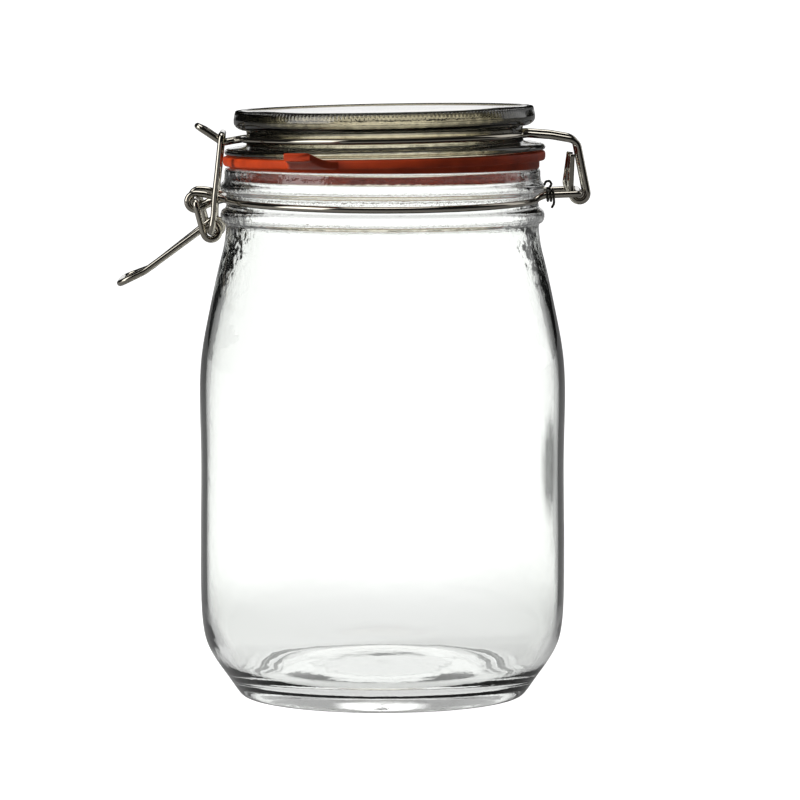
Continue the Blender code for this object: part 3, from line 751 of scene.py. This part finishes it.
# The room as seen in gloss: dim, with two tall soft boxes that face each other across the jar, a top light and a
# sheet behind. Brightness = sheet + dim + boxLight x max(box(cos(2 azimuth + boxTurn)) x window(z), top(z)), each a
# smooth step.
def roomBrightness(tree, direction, boxLight, dim):
    x, y, z = addNode(tree, "ShaderNodeSeparateXYZ", inputs={"Vector": direction}).outputs
    azimuth = addNode(tree, "ShaderNodeMath", {"operation": "ARCTAN2"}, {0: y, 1: x}).outputs[0]
    turned = addNode(tree, "ShaderNodeMath", {"operation": "MULTIPLY_ADD"},
                     {0: azimuth, 1: 2.0, 2: stage["boxTurn"]}).outputs[0]
    around = addNode(tree, "ShaderNodeMath", {"operation": "COSINE"}, {0: turned}).outputs[0]
    # Each smooth step is what it reads, where it starts and ends, and its values there.
    sides, low, high, far, top, behind, above = [
        addNode(tree, "ShaderNodeMapRange", {"interpolation_type": "SMOOTHSTEP"}, {
            "Value": value, "From Min": start, "From Max": end, "To Min": first, "To Max": last}).outputs["Result"]
        for value, (start, end), first, last in (
            (around, stage["boxSides"], 0.0, 1.0), (z, stage["boxBottom"], 0.0, 1.0), (z, stage["boxTop"], 1.0, 0.0),
            (x, stage["farBoxFrom"], 1.0, stage["farBox"]), (z, stage["topLight"], 0.0, 1.0),
            (y, stage["sheetFrom"], 0.0, 1.0), (z, stage["sheetAbove"], 0.0, 1.0))]
    window = addNode(tree, "ShaderNodeMath", {"operation": "MULTIPLY"}, {0: low, 1: high}).outputs[0]
    boxes = addNode(tree, "ShaderNodeMath", {"operation": "MULTIPLY"}, {0: sides, 1: window}).outputs[0]
    boxes = addNode(tree, "ShaderNodeMath", {"operation": "MULTIPLY"}, {0: boxes, 1: far}).outputs[0]
    lit = addNode(tree, "ShaderNodeMath", {"operation": "MAXIMUM"}, {0: boxes, 1: top}).outputs[0]
    sheet = addNode(tree, "ShaderNodeMath", {"operation": "MULTIPLY"}, {0: behind, 1: above}).outputs[0]
    room = addNode(tree, "ShaderNodeMath", {"operation": "MULTIPLY_ADD"}, {0: lit, 1: boxLight, 2: dim}).outputs[0]
    return addNode(tree, "ShaderNodeMath", {"operation": "MULTIPLY_ADD"},
                   {0: sheet, 1: stage["sheet"], 2: room}).outputs[0]


# Picks a strength by the kind of ray: seen straight, met through two walls or more, matt light, mirrored, or bent.
def byRay(tree, seen, through, mirrored, bent, matt):
    path = addNode(tree, "ShaderNodeLightPath").outputs
    bending = path["Is Transmission Ray"]
    twoWalls = addNode(tree, "ShaderNodeMath", {"operation": "GREATER_THAN"},
                       {0: path["Transmission Depth"], 1: stage["twoWalls"]}).outputs[0]
    passing = addNode(tree, "ShaderNodeMath", {"operation": "MULTIPLY"}, {0: twoWalls, 1: bending}).outputs[0]
    mattRay = addNode(tree, "ShaderNodeMath", {"operation": "GREATER_THAN"},
                      {0: path["Diffuse Depth"], 1: 0.5}).outputs[0]
    matt = addNode(tree, "ShaderNodeMix", {"data_type": "FLOAT"},
                   {"Factor": bending, 2: matt, 3: stage["mattThroughGlass"]}).outputs[0]
    # Each kind of ray, where it applies, takes the place of those before it.
    strength = mirrored
    for kindOfRay, own in ((bending, bent), (passing, through), (mattRay, matt), (path["Is Camera Ray"], seen)):
        strength = addNode(tree, "ShaderNodeMix", {"data_type": "FLOAT"},
                           {"Factor": kindOfRay, 2: strength, 3: own}).outputs[0]
    return strength


# Matt pale floor that glows like a lit white sweep, so the jar's shadow stays faint. Seen through the glass it
# carries a
# painted shadow, greyer near the jar: brightness rises with distance by a smooth step.
def makeFloor():
    material, tree, output = newMaterial("paleSweep")
    where = addNode(tree, "ShaderNodeTexCoord").outputs["Object"]
    distance = addNode(tree, "ShaderNodeVectorMath", {"operation": "LENGTH"}, {0: where}).outputs["Value"]
    shade = addNode(tree, "ShaderNodeMapRange", {"interpolation_type": "SMOOTHSTEP"}, {
        "Value": distance, "From Min": stage["shadeFrom"], "From Max": stage["shadeRadius"],
        "To Min": stage["shadeLow"], "To Max": stage["white"]}).outputs["Result"]
    strength = byRay(tree, stage["white"] - stage["floorDimmer"], shade, stage["mirrorFloor"], stage["bentFloor"],
                     stage["mattFloor"])
    glow = addNode(tree, "ShaderNodeEmission", inputs={"Color": hexColour("#ffffff"), "Strength": strength})
    matt = addNode(tree, "ShaderNodeBsdfDiffuse", inputs={"Color": hexColour(stage["floorColour"])})
    both = addNode(tree, "ShaderNodeAddShader", inputs={0: glow.outputs[0], 1: matt.outputs[0]})
    tree.links.new(both.outputs[0], output.inputs["Surface"])
    mesh = bpy.data.meshes.new("floor")
    half, z = stage["floorHalf"], stage["floorZ"]
    mesh.from_pydata([(-half, -half, z), (half, -half, z), (half, half, z), (-half, half, z)], [], [(0, 1, 2, 3)])
    floor = bpy.data.objects.new("floor", mesh)
    bpy.context.scene.collection.objects.link(floor)
    mesh.materials.append(material)


# The room all round, brighter straight ahead than in the glass, the rubber and the steel.
def makeWorld():
    world = bpy.data.worlds.new("studio")
    world.use_nodes = True
    tree = world.node_tree
    tree.nodes.clear()
    output = addNode(tree, "ShaderNodeOutputWorld")
    direction = addNode(tree, "ShaderNodeTexCoord").outputs["Generated"]
    mirrored = roomBrightness(tree, direction, stage["boxLight"], stage["dim"])
    bent = roomBrightness(tree, direction, stage["bentLight"], stage["bentDim"])
    strength = byRay(tree, stage["white"], stage["white"], mirrored, bent, stage["soft"])
    sky = addNode(tree, "ShaderNodeBackground", inputs={"Color": hexColour("#ffffff"), "Strength": strength})
    tree.links.new(sky.outputs["Background"], output.inputs["Surface"])
    bpy.context.scene.world = world


# Places and sizes in metres. The lamps light matt surfaces alone: gloss and glass see the room's own boxes.
lamps = {
    "keySoftBox": {"place": (-1.2, -0.30, 0.45), "size": 0.5, "watts": 20.0},
    "fillSoftBox": {"place": (0.9, 0.8, 0.7), "size": 0.8, "watts": 2.0},
}
lampTarget = (0.008, 0, 0.13)


# Aims the lamp's -Z at the target: tilt = atan2(distance on the floor, height), turn = azimuth + 90 degrees.
def makeLamp(name):
    data = bpy.data.lights.new(name, "AREA")
    data.size = lamps[name]["size"]
    data.energy = lamps[name]["watts"]
    lamp = bpy.data.objects.new(name, data)
    lamp.location = lamps[name]["place"]
    dx, dy, dz = np.array(lamps[name]["place"]) - np.array(lampTarget)
    lamp.rotation_euler = (math.atan2(math.hypot(dx, dy), dz), 0, math.atan2(dy, dx) + math.pi / 2)
    lamp.visible_camera = False
    lamp.visible_transmission = False
    lamp.visible_glossy = False
    bpy.context.scene.collection.objects.link(lamp)


view = {
    "lens": 233.3,
    "sensor": 36.0,
    "aside": 5.08,                    # millimetres from the jar's axis
    "away": 1.5,                      # metres
    "high": 0.2186,
    "down": math.radians(5.06),
    "clipEnd": 200.0,
}


# Looks along +Y and down at the jar.
def makeCamera():
    data = bpy.data.cameras.new("camera")
    data.lens = view["lens"]
    data.sensor_width = view["sensor"]
    data.clip_end = view["clipEnd"]
    camera = bpy.data.objects.new("camera", data)
    camera.location = ((axisX + view["aside"]) * millimetre, -view["away"], view["high"])
    camera.rotation_euler = (math.pi / 2 - view["down"], 0, 0)
    bpy.context.scene.collection.objects.link(camera)
    bpy.context.scene.camera = camera


makeFloor()
makeWorld()
for lampName in lamps:
    makeLamp(lampName)
makeCamera()
bpy.context.scene.view_settings.view_transform = "Standard"
print("stage set")
